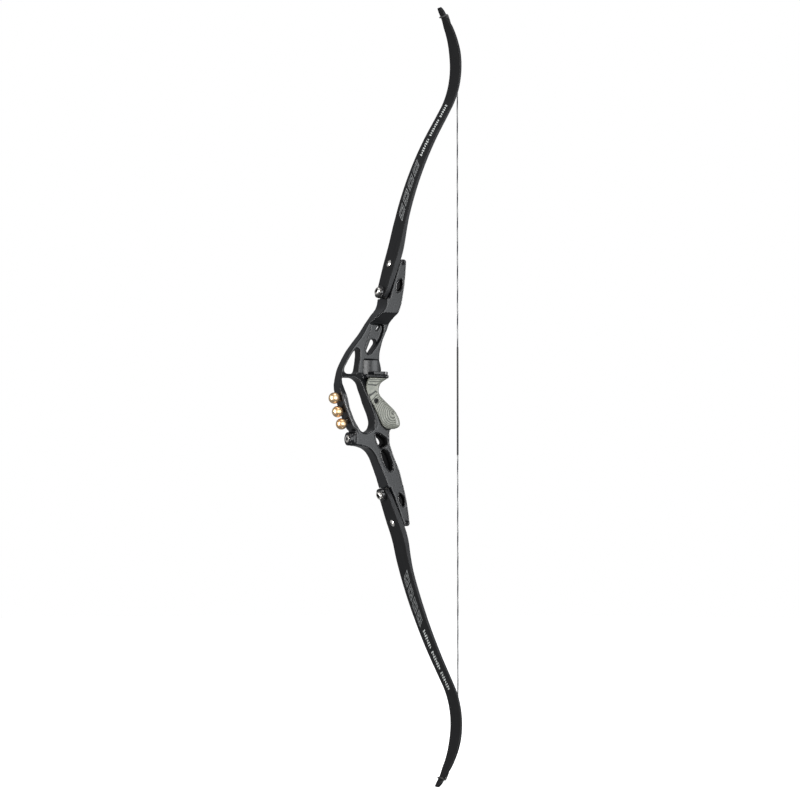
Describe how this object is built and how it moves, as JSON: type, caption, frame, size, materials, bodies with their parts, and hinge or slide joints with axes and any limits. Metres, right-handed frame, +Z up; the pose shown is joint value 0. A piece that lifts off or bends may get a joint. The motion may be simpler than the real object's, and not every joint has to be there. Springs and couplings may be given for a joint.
{
  "type": "recurve bow",
  "caption": "Take-down recurve bow, strung: windowed metal riser with a front weight bar, laminated grip, arrow shelf, slim curved limbs and a served string.",
  "frame": {"origin": "throat of the grip, its deepest point behind, on the bow's middle plane", "axes": "+X towards the archer, from the riser to the string; +Z up the bow, along the string; Y across the bow, with the sight window on the -Y side"},
  "size_m": [0.2779, 0.0495, 1.4719],
  "materials": {
    "riser_metal": "satin black anodised",
    "shelf_metal": "satin black anodised",
    "grip_laminate": "laminated, pale, sanded",
    "black_steel": "gloss black",
    "stainless": "polished",
    "brass_ball": "polished",
    "spring_steel": "plain",
    "limb_core": "satin dark grey edge",
    "limb_glass": "satin black",
    "tip_overlay": "gloss black",
    "string_fibre": "twisted, two greys",
    "serving_thread": "wound, dark grey"
  },
  "bodies": {
    "handle": {"riser": "riser_metal", "arrow_shelf": "shelf_metal", "grip": "grip_laminate", "grip_screw": "black_steel", "stabilizer_bushing": "stainless", "top_weight": "brass_ball", "middle_weight": "brass_ball", "bottom_weight": "brass_ball", "weight_studs": "stainless", "alignment_screws": "black_steel", "upper_bolt_insert": "stainless", "lower_bolt_insert": "stainless", "upper_dovetail": "stainless", "lower_dovetail": "stainless", "upper_dovetail_screw": "stainless", "lower_dovetail_screw": "stainless", "upper_detent_spring": "spring_steel", "lower_detent_spring": "spring_steel"},
    "upper_limb": {"upper_limb_core": "limb_core", "upper_limb_back": "limb_glass", "upper_limb_belly": "limb_glass", "upper_tip_overlay": "tip_overlay", "upper_string_end": "string_fibre"},
    "upper_string_half": {"upper_string": "string_fibre", "upper_serving": "serving_thread"},
    "upper_bolt": {"upper_limb_bolt": "black_steel"},
    "upper_lock": {"upper_lock_screw": "stainless"},
    "upper_detent": {"upper_detent_pin": "stainless"},
    "lower_limb": {"lower_limb_core": "limb_core", "lower_limb_back": "limb_glass", "lower_limb_belly": "limb_glass", "lower_tip_overlay": "tip_overlay", "lower_string_end": "string_fibre"},
    "lower_string_half": {"lower_string": "string_fibre", "lower_serving": "serving_thread"},
    "lower_bolt": {"lower_limb_bolt": "black_steel"},
    "lower_lock": {"lower_lock_screw": "stainless"},
    "lower_detent": {"lower_detent_pin": "stainless"}
  },
  "joints": [
    {"name": "upper_limb_flex", "type": "hinge", "parent": "handle", "child": "upper_limb", "pos_m": [0.05, 0, 0.317], "axis": [0, 1, 0], "range_deg": [0, 32.44], "stiffness_Nm_per_rad": 150, "deforming": ["upper_limb_core", "upper_limb_back", "upper_limb_belly", "upper_tip_overlay", "upper_string_end"]},
    {"name": "lower_limb_flex", "type": "hinge", "parent": "handle", "child": "lower_limb", "pos_m": [0.05, 0, -0.317], "axis": [0, 1, 0], "range_deg": [-30.12, 0], "stiffness_Nm_per_rad": 150, "deforming": ["lower_limb_core", "lower_limb_back", "lower_limb_belly", "lower_tip_overlay", "lower_string_end"]},
    {"name": "upper_string_swing", "type": "hinge", "parent": "upper_limb", "child": "upper_string_half", "pos_m": [0.17391, 0, 0.62436], "axis": [0, 1, 0], "range_deg": [-68.92, 0], "deforming": ["upper_string", "upper_serving"]},
    {"name": "lower_string_swing", "type": "hinge", "parent": "lower_limb", "child": "lower_string_half", "pos_m": [0.17391, 0, -0.62338], "axis": [0, 1, 0], "range_deg": [0, 62.57], "deforming": ["lower_string", "lower_serving"]},
    {"name": "upper_bolt_travel", "type": "slide", "parent": "handle", "child": "upper_bolt", "axis": [-0.9511, 0, 0.309], "range_m": [0, 0.003]},
    {"name": "upper_bolt_turn", "type": "hinge", "parent": "upper_bolt", "child": "upper_lock", "pos_m": [0.0172, 0, 0.1812], "axis": [-0.9511, 0, 0.309], "range_deg": [0, 720]},
    {"name": "upper_detent_push", "type": "slide", "parent": "handle", "child": "upper_detent", "axis": [-0.9511, 0, 0.309], "range_m": [0, 0.0014], "stiffness_N_per_m": 2000, "deforming": ["upper_detent_spring"]},
    {"name": "lower_bolt_travel", "type": "slide", "parent": "handle", "child": "lower_bolt", "axis": [-0.9285, 0, -0.3714], "range_m": [0, 0.003]},
    {"name": "lower_bolt_turn", "type": "hinge", "parent": "lower_bolt", "child": "lower_lock", "pos_m": [0.0207, 0, -0.1866], "axis": [-0.9285, 0, -0.3714], "range_deg": [0, 720]},
    {"name": "lower_detent_push", "type": "slide", "parent": "handle", "child": "lower_detent", "axis": [-0.9285, 0, -0.3714], "range_m": [0, 0.0014], "stiffness_N_per_m": 2000, "deforming": ["lower_detent_spring"]}
  ],
  "couplings": [
    {"joint": "lower_limb_flex", "follows": "upper_limb_flex", "ratio": -0.92839},
    {"joint": "upper_string_swing", "follows": "upper_limb_flex", "ratio": -2.1243},
    {"joint": "lower_string_swing", "follows": "upper_limb_flex", "ratio": 1.9285},
    {"joint": "upper_bolt_turn", "follows": "upper_bolt_travel", "rad_per_m": 4188.8},
    {"joint": "lower_bolt_turn", "follows": "lower_bolt_travel", "rad_per_m": 4188.8}
  ]
}
